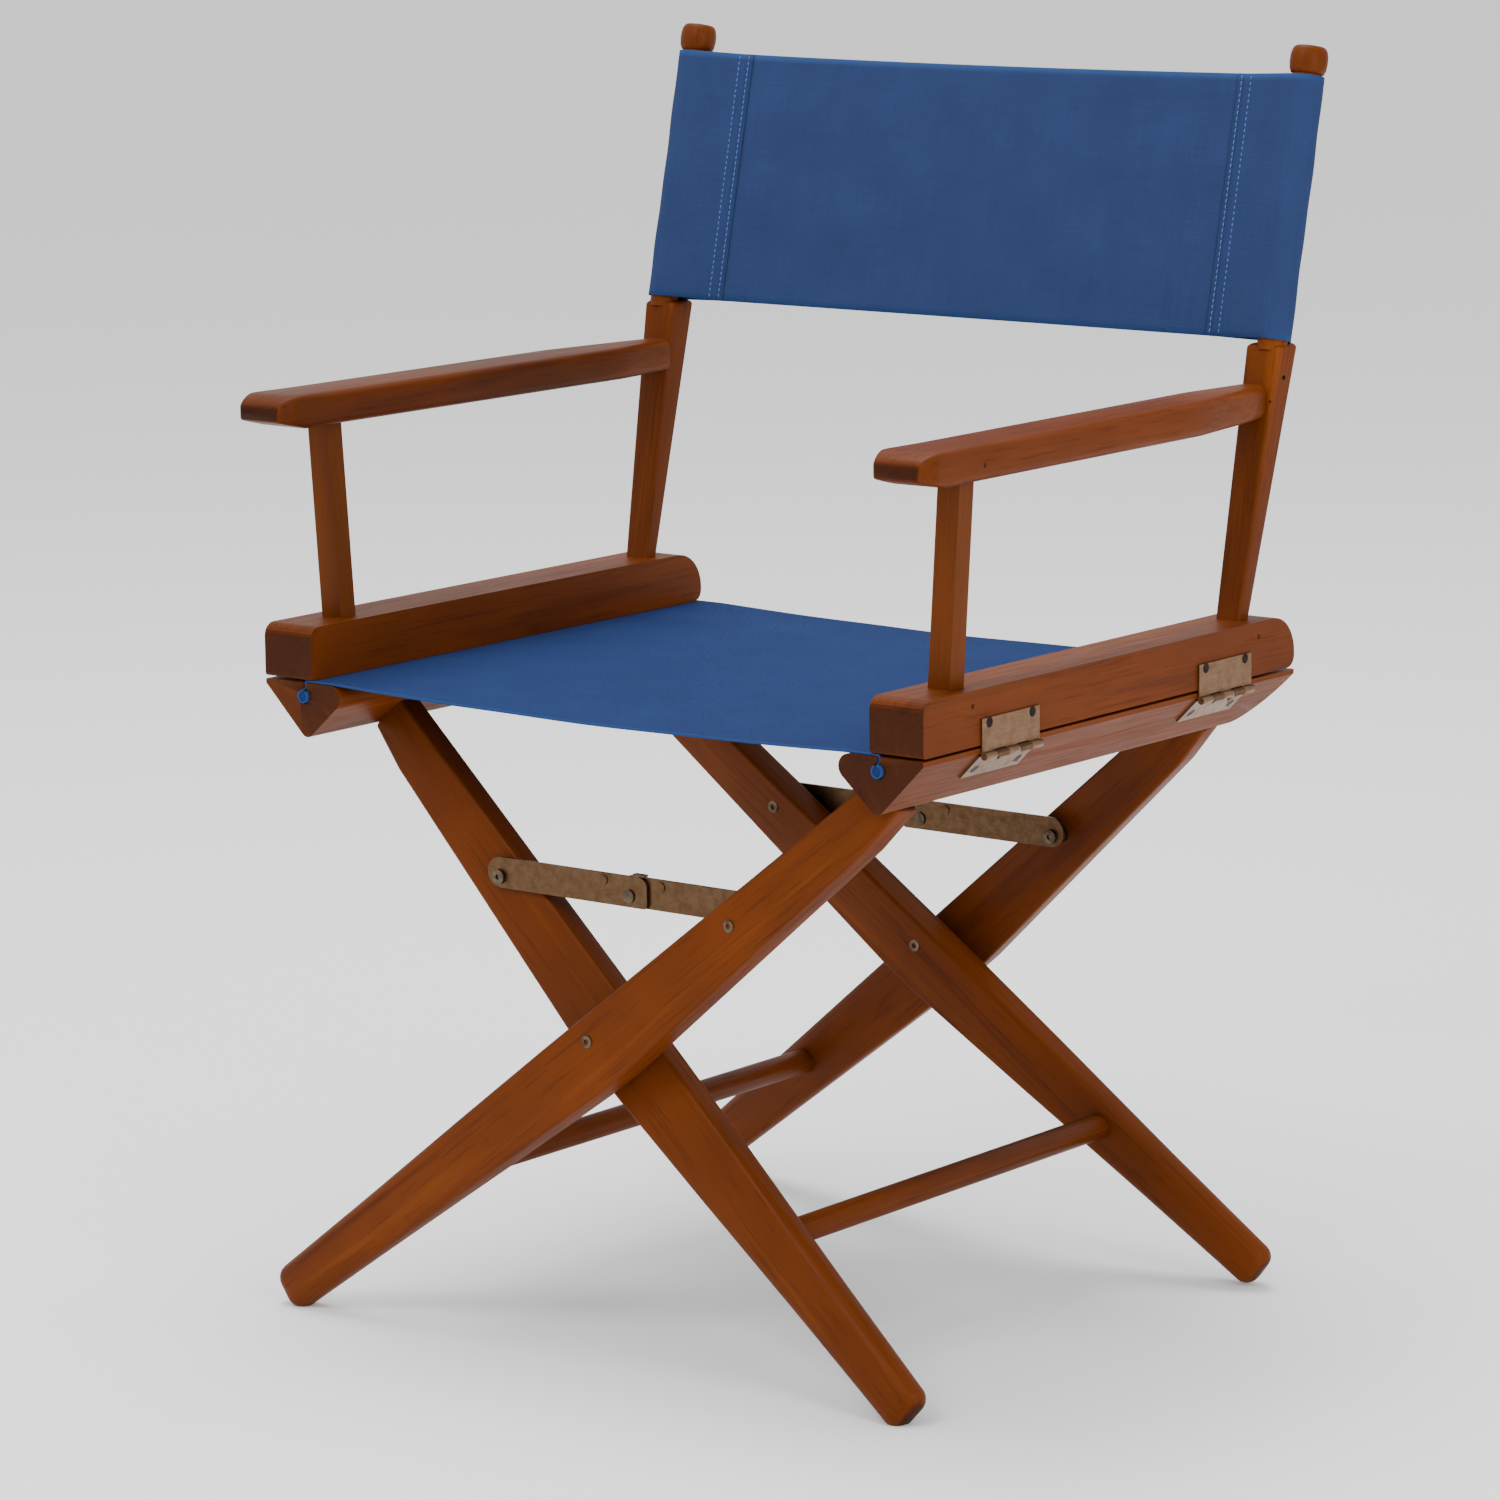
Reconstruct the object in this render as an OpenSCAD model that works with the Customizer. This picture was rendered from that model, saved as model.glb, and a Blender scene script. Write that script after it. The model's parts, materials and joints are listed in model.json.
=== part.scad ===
// Folding armchair: two crossed leg frames, hinged arm assemblies, knee braces,
// a cloth seat and a cloth back. The front of the chair faces -Y, millimetres throughout.

/* [Seat] */
// Distance between the outer faces of the two upper rails
seat_w = 555; // [545:1:565]
// Length of the side rails, front to back
rail_len = 420; // [410:1:430]
// Height of the underside of the upper rails
seam_z = 434; // [430:1:438]
// Gap between lower and upper rail that the seat cloth passes through
seam_gap = 2; // [2:0.5:3]
// Thickness of an upper rail
upper_rail_w = 42; // [38:1:44]
// Height of an upper rail
upper_rail_h = 36; // [32:1:38]

/* [Legs] */
// Height of the crossing bolts
pivot_z = 216.5; // [214:0.5:219]
// Angle of the legs above the floor
leg_angle = 38.6; // [38.4:0.1:38.8]
// Thickness of a leg
leg_t = 22; // [20:1:22]
// Width of a leg at its foot and its top
leg_w = 32; // [30:1:34]
// Width of a leg at the crossing bolt
leg_mid_w = 49; // [44:1:52]
// Diameter of the two stretchers
stretcher_d = 18; // [15:1:20]

/* [Arms] */
// Height of the armrest's top face
arm_z = 626; // [615:1:635]
// Thickness of an armrest
arm_t = 23; // [20:1:25]
// Width of an armrest
arm_w = 45; // [40:1:48]
// Width of a front post across the chair
front_post_w = 17; // [15:1:20]
// Depth of a front post along the chair
front_post_d = 15; // [13:1:18]

/* [Back] */
// Height of the back posts' square shoulders
shoulder_z = 652; // [648:1:656]
// Top of the finials
overall_h = 849; // [840:1:860]
// Backward lean of the back posts
back_lean = 13.1; // [12:0.1:14]
// Diameter of the round necks that carry the back cloth
neck_d = 20.5; // [18:0.5:21]
// Height of the back cloth, measured straight up
back_cloth_h = 172; // [160:1:175]

/* [Braces] */
// Length of each brace link between its two pivots
link_len = 112.3; // [112:0.1:113]
// Width of a brace link
link_w = 21; // [18:1:22]
// Thickness of a brace link
link_t = 2; // [1.5:0.5:2]

/* [Hidden] */
$fn = 64;

WOOD = [0.55, 0.27, 0.13];
BRASS = [0.52, 0.42, 0.30];
CLOTH = [0.19, 0.33, 0.53];

far = 1000;
rail_y0 = -222;
rail_y1 = rail_y0 + rail_len;
upper_x1 = seat_w / 2;
upper_x0 = upper_x1 - upper_rail_w;
upper_top = seam_z + upper_rail_h;
post_base_x = (upper_x0 + upper_x1) / 2;

// Lower rail: a rounded wedge with a lobe on the inside and a 45 degree outer face
lower_top = seam_z - seam_gap;
lower_x1 = upper_x1 - 0.3;
slope_z = lower_top - 3;
slope_angle = 45;
lobe_r = 8.5;
lobe = [lower_x1 - 58, lower_top - lobe_r];
apex_r = 6;
apex_z = lower_top - 31;
apex = [lower_x1 - (slope_z - apex_z) - 2 * apex_r * sin(slope_angle) - 0.02, apex_z];
groove = [lower_x1 - 35, lower_top - 9];
groove_r = 5.2;
slot_w = 3;
rear_curve_r = 34;
rod_d = 6;

// Legs: front face at the crossing bolt, and rake (the run back per unit of height)
leg_y = [-221, -187, 139, 175];
leg_rake = [0.11, 0.19, -0.18, -0.18];
leg_side = [1, -1, -1, 1];
FRONT_OUTER = 0;
FRONT_INNER = 1;
REAR_INNER = 2;
REAR_OUTER = 3;
leg_foot = 332;
leg_end = 300;
leg_slim = leg_w / 2;
leg_belly = leg_mid_w - leg_slim;
belly_half = 14;

// Stretchers cross 183 mm down each leg from the bolt
stretcher_run = 183;
stretcher_x = stretcher_run * cos(leg_angle);
stretcher_z = pivot_z - stretcher_run * sin(leg_angle);
stretcher_bury = 10;

pivot_d = 6;
head_d = 8.6;
head_sink = 1.8;
running = 0.1;

// Braces: both links lie level, and meet at the knee in the middle
brace_x = link_len;
brace_z = pivot_z + brace_x * tan(leg_angle);
link_rise = 3;
link_overrun = 15;
knee_r = link_rise + link_w / 2;
link1_y = [-175, 146.4];
link_gap = 0.3;
link2_y = [link1_y[0] + link_t + link_gap, link1_y[1] + link_t + link_gap];
brace_bolt_d = 5;

// Arms
front_post_y = -170;
front_post_lean = 9;
back_base = [148, 161];
back_shoulder = [184.5, 207];
back_x = [post_base_x - 10, post_base_x + 9];
back_x_top = [post_base_x - 10, post_base_x + 16.5];
arm_turn = 0.9;
arm_x = post_base_x + front_post_lean;
arm_y0 = -234;
arm_bottom = arm_z - arm_t;
neck_x = post_base_x + 5.5;
neck_y = 193;
finial_r = 11.7;
finial_h = 20;

// Hinges
hinge_y = [-131, 112.5];
leaf_len = 62;
leaf_t = 1.5;
leaf_h = 24;
pin_x = upper_x1 + 2.7;
pin_z = slope_z - 2;
knuckle_r = 2.5;
knuckles = 5;
knuckle_gap = 0.4;
pin_r = 1.25;
screw_pitch = 46.5;
screw_d = 3.5;
screw_head_d = 7;
screw_len = 15;
upper_screw_z = seam_z + 14;
lower_screw_z = -16;

// Cloth
seat_cloth_t = 1.4;
seam_mid = seam_z - seam_gap / 2;
sleeve_r = 12.3;
stitch_x = 216;
back_cloth_t = 2;
back_cloth_z = 656;

// Points of an arc about c, from angle a0 to a1
function arc(c, r, a0, a1, n = 12) =
    [for (i = [0:n]) let (a = a0 + (a1 - a0) * i / n) [c[0] + r * cos(a), c[1] + r * sin(a)]];

// Where the front face of leg i lies at height z
function leg_face(i, z) = leg_y[i] + leg_rake[i] * (z - pivot_z);

// Puts what follows on the right (1) or the left (-1) of the chair
module side(s) {
    mirror([s < 0 ? 1 : 0, 0, 0]) children();
}

// A rod along Y, from y0 to y1
module y_rod(x, z, y0, y1, d) {
    translate([x, y0, z]) rotate([-90, 0, 0]) cylinder(d = d, h = y1 - y0);
}

// A plate in the XZ plane, from y0 back by t
module xz_plate(y0, t) {
    translate([0, y0 + t, 0]) rotate([90, 0, 0]) linear_extrude(t) children();
}

// A solid with a YZ outline, from x0 outwards by t
module yz_plate(x0, t) {
    translate([x0, 0, 0]) rotate([90, 0, 90]) linear_extrude(t) children();
}

/* ---- leg frames ---- */

module leg_outline() {
    polygon(concat(
        [[-leg_foot, leg_slim], [-leg_foot, -leg_slim + 2], [-leg_foot + 4, -leg_slim]],
        [[-belly_half, -leg_belly], [belly_half, -leg_belly]],
        [[leg_end - 10, -leg_slim - 1], [leg_end, -leg_slim + 6], [leg_end, leg_slim]]
    ));
}

// The bare slab of a leg, leaning along the chair by its rake
module leg_slab(i) {
    rake = atan(leg_rake[i]);
    plane_angle = atan(tan(leg_angle) / cos(rake));
    translate([0, leg_y[i], pivot_z])
        rotate([-rake, 0, 0])
            side(leg_side[i])
                xz_plate(0, leg_t) rotate(plane_angle) leg_outline();
}

module leg(i) {
    bolt_x = leg_side[i] * brace_x;
    sink_y = leg_face(i, brace_z) + head_sink;
    stretcher_side = -leg_side[i] * stretcher_x;
    stretcher_y = leg_face(i, stretcher_z);
    difference() {
        leg_slab(i);
        translate([-far / 2, -far / 2, -far]) cube(far);
        y_rod(0, pivot_z, -far, far, pivot_d + 2 * running);
        y_rod(bolt_x, brace_z, -far, far, brace_bolt_d + 0.1);
        if (i == FRONT_OUTER || i == REAR_INNER) {
            y_rod(0, pivot_z, -far, leg_y[i] + head_sink, head_d);
            y_rod(bolt_x, brace_z, -far, sink_y, head_d);
        }
        if (i == FRONT_OUTER || i == FRONT_INNER)
            y_rod(stretcher_side, stretcher_z, stretcher_y + leg_t - stretcher_bury, far, stretcher_d);
        else
            y_rod(stretcher_side, stretcher_z, -far, stretcher_y + stretcher_bury, stretcher_d);
    }
}

module stretcher(s, front, rear) {
    y0 = leg_face(front, stretcher_z) + leg_t - stretcher_bury;
    y1 = leg_face(rear, stretcher_z) + stretcher_bury;
    y_rod(s * stretcher_x, stretcher_z, y0, y1, stretcher_d);
}

module lower_rail_outline() {
    run = lobe - apex;
    tangent = atan2(-run[1], -run[0]) - acos((lobe_r - apex_r) / norm(run));
    difference() {
        polygon(concat(
            [[lower_x1, lower_top], [lower_x1, slope_z]],
            arc(apex, apex_r, -slope_angle, tangent),
            arc(lobe, lobe_r, tangent, -270)
        ));
        translate(groove) circle(groove_r);
        translate([groove[0] - slot_w / 2, groove[1]]) square([slot_w, far / 20]);
    }
}

module lower_rail(s) {
    z0 = apex[1] - apex_r;
    difference() {
        side(s) intersection() {
            xz_plate(rail_y0, rail_len) lower_rail_outline();
            yz_plate(upper_x0 - far / 10, far / 5)
                polygon(concat(
                    [[rail_y0, lower_top], [rail_y0, z0]],
                    arc([rail_y1 - rear_curve_r, z0 + rear_curve_r], rear_curve_r, -90, 0),
                    [[rail_y1, lower_top]]
                ));
        }
        leg_slab(s > 0 ? FRONT_OUTER : FRONT_INNER);
        leg_slab(s > 0 ? REAR_OUTER : REAR_INNER);
        for (y = hinge_y) lower_screw_pair(s, y);
    }
}

module seat_rod(s) {
    y_rod(s * groove[0], groove[1], rail_y0 + 2, rail_y1 - 2, rod_d);
}

/* ---- crossing bolts ---- */

module pivot_bolt(front, back) {
    y0 = leg_y[front] - 0.8;
    y1 = leg_y[back] + leg_t + 8;
    difference() {
        union() {
            y_rod(0, pivot_z, y0, leg_y[front] + head_sink, head_d - 0.3);
            y_rod(0, pivot_z, y0, y1, pivot_d);
        }
        y_rod(0, pivot_z, y0 - 1, y0 + 2, 3.6);
    }
}

module pivot_spacer(front, back) {
    y0 = leg_y[front] + leg_t + 2;
    y1 = leg_y[back] - 2.2;
    difference() {
        y_rod(0, pivot_z, y0, y1, 18);
        y_rod(0, pivot_z, y0 - 1, y1 + 1, pivot_d);
    }
}

module pivot_nut(back) {
    y0 = leg_y[back] + leg_t + 2.2;
    difference() {
        union() {
            y_rod(0, pivot_z, y0, y0 + 1.2, 16);
            translate([0, y0 + 1.2, pivot_z]) rotate([-90, 0, 0]) cylinder(d = 11.5, h = 4, $fn = 6);
        }
        y_rod(0, pivot_z, y0 - 1, y0 + 6, pivot_d);
    }
}

/* ---- knee braces ---- */

// Link 1, seen from the front, with its leg bolt at the origin and the knee at +X
module link1_outline() {
    z0 = link_rise - link_w / 2;
    end = link_len + link_overrun;
    polygon(concat(
        arc([0, link_rise], link_w / 2, 90, 270),
        arc([end - 3, z0 + 3], 3, -90, 0, 4),
        arc([end - 7, knee_r - 7], 7, 0, 90, 6)
    ));
}

// Link 2, seen from the front, with the knee at the origin and its leg bolt at +X
module link2_outline() {
    intersection() {
        union() {
            circle(knee_r);
            translate([0, -far / 2]) square([far, far]);
        }
        polygon(concat(
            [[-knee_r - 1, knee_r], [-knee_r - 1, link_rise - link_w / 2]],
            arc([link_len, link_rise], link_w / 2, -90, 90)
        ));
    }
}

// s is the side whose leg carries link 1
module brace_link1(s, y) {
    side(s) translate([brace_x, 0, brace_z]) mirror([1, 0, 0]) {
        difference() {
            union() {
                xz_plate(y, link_t) link1_outline();
                y_rod(link_len - 22, knee_r - 5, y - 0.8, y + 0.5, 7);
            }
            y_rod(0, 0, y - 1, y + link_t + 1, brace_bolt_d + 2 * running);
            y_rod(link_len, 0, y - 1, y + link_t + 1, brace_bolt_d);
        }
        translate([link_len + 3, y, knee_r + 0.4]) cube([10, 2 * link_t + link_gap, 1.5]);
        translate([link_len + 3, y, knee_r - 3]) cube([5, link_t, 4]);
    }
}

module brace_link2(s, y) {
    side(s) translate([0, 0, brace_z])
        difference() {
            union() {
                xz_plate(y, link_t) link2_outline();
                y_rod(25, knee_r - 5, y - 0.8, y + 0.5, 7);
            }
            y_rod(0, 0, y - 1, y + link_t + 1, brace_bolt_d + 2 * running);
            y_rod(link_len, 0, y - 1, y + link_t + 1, brace_bolt_d);
        }
}

module knee_rivet(i) {
    y0 = link1_y[i];
    y1 = link2_y[i] + link_t;
    y_rod(0, brace_z, y0 - 1.2, y0, 9);
    y_rod(0, brace_z, y0 - 1.2, y1 + 1.2, brace_bolt_d);
    y_rod(0, brace_z, y1 + 0.3, y1 + 1.2, 9);
}

module link_stud(s, y) {
    y_rod(s * brace_x, brace_z, y, y + link_t + 1, brace_bolt_d);
    y_rod(s * brace_x, brace_z, y + link_t, y + link_t + 1.5, 9);
}

// Bolt that link 1 turns on, with its head in front of the link
module link1_bolt(i, link_y) {
    x = leg_side[i] * brace_x;
    y1 = leg_face(i, brace_z) + leg_t;
    difference() {
        union() {
            y_rod(x, brace_z, link_y - 2.5, link_y - 0.3, 10);
            y_rod(x, brace_z, link_y - 2.5, y1, brace_bolt_d);
        }
        y_rod(x, brace_z, link_y - 3, link_y - 1.2, 3.6);
    }
}

// Bolt whose head shows on the leg's front face and whose end stops just short of link 2
module link2_bolt(i, link_y) {
    x = leg_side[i] * brace_x;
    y0 = leg_face(i, brace_z);
    difference() {
        union() {
            y_rod(x, brace_z, y0 - 0.8, y0 + head_sink, head_d - 0.3);
            y_rod(x, brace_z, y0 - 0.8, link_y - 0.4, brace_bolt_d);
        }
        y_rod(x, brace_z, y0 - 1.8, y0 + 1.2, 3.6);
    }
}

module brace_spacer(i, y0, y1) {
    x = leg_side[i] * brace_x;
    difference() {
        y_rod(x, brace_z, y0, y1, 12);
        y_rod(x, brace_z, y0 - 1, y1 + 1, brace_bolt_d);
        leg_slab(i);
    }
}

/* ---- hinges ---- */

function knuckle_y(k) = -leaf_len / 2 + k * leaf_len / knuckles;
knuckle_len = leaf_len / knuckles - knuckle_gap;

module upper_screw_pair(s, y) {
    side(s) for (k = [-1, 1])
        translate([upper_x1 + leaf_t - screw_len, y + k * screw_pitch / 2, upper_screw_z])
            rotate([0, 90, 0]) cylinder(d = screw_d, h = screw_len);
}

// The 45 degree outer face, with X outwards, and Z up the slope from its lower screws
module on_slope() {
    translate([lower_x1, 0, slope_z]) rotate([0, slope_angle, 0]) children();
}

module lower_screw_pair(s, y) {
    side(s) on_slope() for (k = [-1, 1])
        translate([leaf_t - screw_len, y + k * screw_pitch / 2, lower_screw_z])
            rotate([0, 90, 0]) cylinder(d = screw_d, h = screw_len);
}

module screw_heads(z, y) {
    for (k = [-1, 1])
        translate([0, y + k * screw_pitch / 2, z])
            rotate([0, 90, 0]) cylinder(d1 = screw_d, d2 = screw_head_d, h = leaf_t);
}

module upper_leaf(s, y) {
    side(s) difference() {
        union() {
            translate([upper_x1, y - leaf_len / 2, pin_z + 3]) cube([leaf_t, leaf_len, leaf_h - 3]);
            for (k = [0, 2, 4]) {
                y_rod(pin_x, pin_z, y + knuckle_y(k), y + knuckle_y(k) + knuckle_len, 2 * knuckle_r);
                translate([upper_x1 + 0.2, y + knuckle_y(k), pin_z])
                    cube([leaf_t, knuckle_len, 4]);
            }
        }
        y_rod(pin_x, pin_z, y - leaf_len, y + leaf_len, 2 * pin_r);
        translate([upper_x1, 0, 0]) screw_heads(upper_screw_z, y);
    }
}

module lower_leaf(s, y) {
    side(s) difference() {
        union() {
            on_slope() translate([0, y - leaf_len / 2, -leaf_h]) cube([leaf_t, leaf_len, leaf_h - 2]);
            for (k = [1, 3]) {
                y_rod(pin_x, pin_z, y + knuckle_y(k), y + knuckle_y(k) + knuckle_len, 2 * knuckle_r);
                on_slope() translate([0, y + knuckle_y(k), -4]) cube([leaf_t + 0.2, knuckle_len, 4.6]);
            }
        }
        y_rod(pin_x, pin_z, y - leaf_len, y + leaf_len, 2 * pin_r + 0.14);
        on_slope() {
            screw_heads(lower_screw_z, y);
            translate([-1, y - 4, -9]) rotate([0, 90, 0]) cylinder(d = 3, h = 4);
        }
    }
}

module hinge_pin(s, y) {
    y_rod(s * pin_x, pin_z, y - leaf_len / 2, y + leaf_len / 2, 2 * pin_r);
}

module upper_screws(s) {
    for (y = hinge_y) {
        upper_screw_pair(s, y);
        side(s) translate([upper_x1, 0, 0]) screw_heads(upper_screw_z, y);
    }
}

module lower_screws(s) {
    for (y = hinge_y) {
        lower_screw_pair(s, y);
        side(s) on_slope() screw_heads(lower_screw_z, y);
    }
}

/* ---- arm assemblies ---- */

module upper_rail_outline() {
    polygon(concat(
        arc([rail_y0 + 2, seam_z + 2], 2, 180, 270, 3),
        arc([rail_y1 - 8, seam_z + 8], 8, -90, 0, 5),
        arc([rail_y1 - 26, upper_top - 26], 26, 0, 90),
        arc([rail_y0 + 9, upper_top - 9], 9, 90, 180, 6)
    ));
}

module upper_rail(s) {
    difference() {
        side(s) difference() {
            yz_plate(upper_x0, upper_rail_w) upper_rail_outline();
            front_tenon();
            back_tenon();
            brads();
        }
        for (y = hinge_y) upper_screw_pair(s, y);
    }
}

module front_tenon() {
    translate([post_base_x, front_post_y, upper_top - 20]) cylinder(d = 10, h = 26);
}

module back_tenon() {
    y = (back_base[0] + back_base[1]) / 2;
    translate([post_base_x, y, upper_top - 20]) cylinder(d = 10, h = 26);
}

module front_post_blank() {
    lean = atan(front_post_lean / (arm_bottom - upper_top));
    translate([post_base_x, front_post_y, upper_top])
        rotate([0, lean, 0])
            translate([-front_post_w / 2, -front_post_d / 2, -10])
                cube([front_post_w, front_post_d, arm_bottom - upper_top + 20]);
}

module front_top_tenon() {
    translate([arm_x, front_post_y, arm_bottom - 6]) cylinder(d = 10, h = 18);
}

module front_post(s) {
    side(s) difference() {
        union() {
            intersection() {
                front_post_blank();
                translate([0, -far / 2, upper_top]) cube([far, far, arm_bottom - upper_top]);
            }
            front_tenon();
            front_top_tenon();
        }
        brads();
    }
}

module back_post_blank() {
    intersection() {
        yz_plate(0, far) polygon([
            [back_base[0], upper_top], [back_base[1], upper_top],
            [back_shoulder[1], shoulder_z - 6], [back_shoulder[1] - 4.5, shoulder_z],
            [back_shoulder[0] + 4, shoulder_z], [back_shoulder[0] - 1, shoulder_z - 7]
        ]);
        xz_plate(-far / 2, far) polygon([
            [back_x[0], upper_top], [back_x_top[0], shoulder_z - 6], [back_x_top[0] + 4, shoulder_z],
            [back_x_top[1] - 4.5, shoulder_z], [back_x_top[1], shoulder_z - 6], [back_x[1], upper_top]
        ]);
    }
}

// Everything round on the leaning neck axis, with Z along the neck from the shoulder
module on_neck() {
    translate([neck_x, neck_y, shoulder_z - 2]) rotate([-back_lean, 0, 0]) children();
}

neck_len = (overall_h - shoulder_z - finial_r * sin(back_lean) + 2) / cos(back_lean) + 1.6;

module finial() {
    r = finial_r;
    translate([0, 0, neck_len - finial_h])
        rotate_extrude() polygon([
            [0, 0], [r - 3, 0], [r - 0.8, 2], [r, 6], [r, 13], [r - 1.2, 17], [r - 4, 19.4], [0, finial_h]
        ]);
}

module arm_tenon() {
    y = back_shoulder[0] - 12;
    translate([neck_x - 2.5, y - 12, (arm_z + arm_bottom) / 2]) rotate([-90, 0, 0]) cylinder(d = 10, h = 22);
}

module back_post(s) {
    side(s) difference() {
        union() {
            back_post_blank();
            back_tenon();
            on_neck() translate([0, 0, -4]) cylinder(d = neck_d, h = neck_len - 10);
            on_neck() finial();
        }
        arm_tenon();
        brads();
    }
}

module armrest_blank() {
    half = arm_w / 2;
    intersection() {
        translate([arm_x, front_post_y, 0]) rotate(arm_turn) translate([0, -front_post_y, 0])
            linear_extrude(far) polygon([
                [-half + 5, arm_y0], [half - 5, arm_y0], [half, arm_y0 + 14], [half, 80],
                [9, 172], [9, 200], [-13, 200], [-half, 120], [-half, arm_y0 + 14]
            ]);
        yz_plate(0, far) polygon(concat(
            [[-arm_y0, arm_bottom], [arm_y0 + 25, arm_bottom], [arm_y0, arm_bottom + 6]],
            [for (a = [0:15:90]) [arm_y0 + 20 * (1 - cos(a)), arm_z - 10 * (1 - sin(a))]],
            [[-arm_y0, arm_z]]
        ));
    }
}

module armrest(s) {
    side(s) difference() {
        union() {
            difference() {
                armrest_blank();
                back_post_blank();
                translate([0, back_shoulder[0] - 6, 0]) cube(far);
            }
            arm_tenon();
        }
        front_top_tenon();
        brads();
    }
}

// Four thin brads that lock the tenons of one arm assembly
module brads() {
    d = 2;
    h = 14;
    y_back = (back_base[0] + back_base[1]) / 2;
    translate([upper_x1 - 1 - 22, front_post_y, upper_top - 10]) rotate([0, 90, 0]) cylinder(d = d, h = 22);
    translate([upper_x1 - 1 - 22, y_back, upper_top - 10]) rotate([0, 90, 0]) cylinder(d = d, h = 22);
    translate([arm_x + 8, front_post_y, arm_bottom + 7]) rotate([0, 90, 0]) cylinder(d = d, h = h);
    translate([neck_x - 2, back_shoulder[0] - 6, arm_z - 11]) rotate([0, 90, 0]) cylinder(d = d, h = h - 3);
}

module arm_brads(s) {
    side(s) brads();
}

/* ---- cloth ---- */

module seat_canvas_end() {
    z = groove[1];
    translate([groove[0] - 0.7, z + 3.3]) square([1.4, seam_mid - z - 3.3]);
    difference() {
        translate([groove[0], z]) circle(4.5);
        translate([groove[0], z]) circle(3.3);
    }
}

module seat_canvas() {
    xz_plate(rail_y0, rail_len) {
        translate([-groove[0] - 0.7, seam_mid - seat_cloth_t / 2])
            square([2 * groove[0] + 1.4, seat_cloth_t]);
        seat_canvas_end();
        mirror([1, 0]) seat_canvas_end();
    }
}

module back_canvas_end() {
    difference() {
        union() {
            translate([neck_x, 0]) circle(sleeve_r);
            polygon([[neck_x, -sleeve_r], [neck_x, sleeve_r], [stitch_x, 1], [stitch_x, -1]]);
        }
        translate([neck_x, 0]) circle(sleeve_r - 1.2);
    }
}

module back_canvas() {
    rise = back_cloth_z - shoulder_z + 2;
    translate([0, neck_y, shoulder_z - 2]) rotate([-back_lean, 0, 0])
        translate([0, 0, rise / cos(back_lean)])
            linear_extrude(back_cloth_h / cos(back_lean)) {
                translate([-stitch_x, -back_cloth_t / 2]) square([2 * stitch_x, back_cloth_t]);
                back_canvas_end();
                mirror([1, 0]) back_canvas_end();
            }
}

color(WOOD) upper_rail(-1);  // upper_rail_left
color(WOOD) upper_rail(1);  // upper_rail_right
color(WOOD) front_post(-1);  // front_post_left
color(WOOD) front_post(1);  // front_post_right
color(WOOD) back_post(-1);  // back_post_left
color(WOOD) back_post(1);  // back_post_right
color(WOOD) armrest(-1);  // armrest_left
color(WOOD) armrest(1);  // armrest_right
color(BRASS) arm_brads(-1);  // arm_brads_left
color(BRASS) arm_brads(1);  // arm_brads_right
color(BRASS) upper_leaf(-1, hinge_y[0]);  // hinge_upper_front_left
color(BRASS) upper_leaf(-1, hinge_y[1]);  // hinge_upper_rear_left
color(BRASS) upper_leaf(1, hinge_y[0]);  // hinge_upper_front_right
color(BRASS) upper_leaf(1, hinge_y[1]);  // hinge_upper_rear_right
color(BRASS) lower_leaf(-1, hinge_y[0]);  // hinge_lower_front_left
color(BRASS) lower_leaf(-1, hinge_y[1]);  // hinge_lower_rear_left
color(BRASS) lower_leaf(1, hinge_y[0]);  // hinge_lower_front_right
color(BRASS) lower_leaf(1, hinge_y[1]);  // hinge_lower_rear_right
color(BRASS) hinge_pin(-1, hinge_y[0]);  // hinge_pin_front_left
color(BRASS) hinge_pin(-1, hinge_y[1]);  // hinge_pin_rear_left
color(BRASS) hinge_pin(1, hinge_y[0]);  // hinge_pin_front_right
color(BRASS) hinge_pin(1, hinge_y[1]);  // hinge_pin_rear_right
color(BRASS) upper_screws(-1);  // upper_screws_left
color(BRASS) upper_screws(1);  // upper_screws_right
color(BRASS) lower_screws(-1);  // lower_screws_left
color(BRASS) lower_screws(1);  // lower_screws_right
color(WOOD) lower_rail(-1);  // lower_rail_left
color(WOOD) lower_rail(1);  // lower_rail_right
color(WOOD) seat_rod(-1);  // seat_rod_left
color(WOOD) seat_rod(1);  // seat_rod_right
color(WOOD) leg(FRONT_OUTER);  // leg_front_outer
color(WOOD) leg(FRONT_INNER);  // leg_front_inner
color(WOOD) leg(REAR_INNER);  // leg_rear_inner
color(WOOD) leg(REAR_OUTER);  // leg_rear_outer
color(WOOD) stretcher(-1, FRONT_OUTER, REAR_OUTER);  // stretcher_left
color(WOOD) stretcher(1, FRONT_INNER, REAR_INNER);  // stretcher_right
color(BRASS) pivot_bolt(FRONT_OUTER, FRONT_INNER);  // pivot_bolt_front
color(BRASS) pivot_bolt(REAR_INNER, REAR_OUTER);  // pivot_bolt_rear
color(BRASS) pivot_spacer(FRONT_OUTER, FRONT_INNER);  // pivot_spacer_front
color(BRASS) pivot_spacer(REAR_INNER, REAR_OUTER);  // pivot_spacer_rear
color(BRASS) pivot_nut(FRONT_INNER);  // pivot_nut_front
color(BRASS) pivot_nut(REAR_OUTER);  // pivot_nut_rear
color(BRASS) brace_link1(-1, link1_y[0]);  // brace_link_front_left
color(BRASS) brace_link2(1, link2_y[0]);  // brace_link_front_right
color(BRASS) brace_link1(1, link1_y[1]);  // brace_link_rear_right
color(BRASS) brace_link2(-1, link2_y[1]);  // brace_link_rear_left
color(BRASS) knee_rivet(0);  // knee_rivet_front
color(BRASS) knee_rivet(1);  // knee_rivet_rear
color(BRASS) link_stud(1, link2_y[0]);  // link_stud_front
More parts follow.
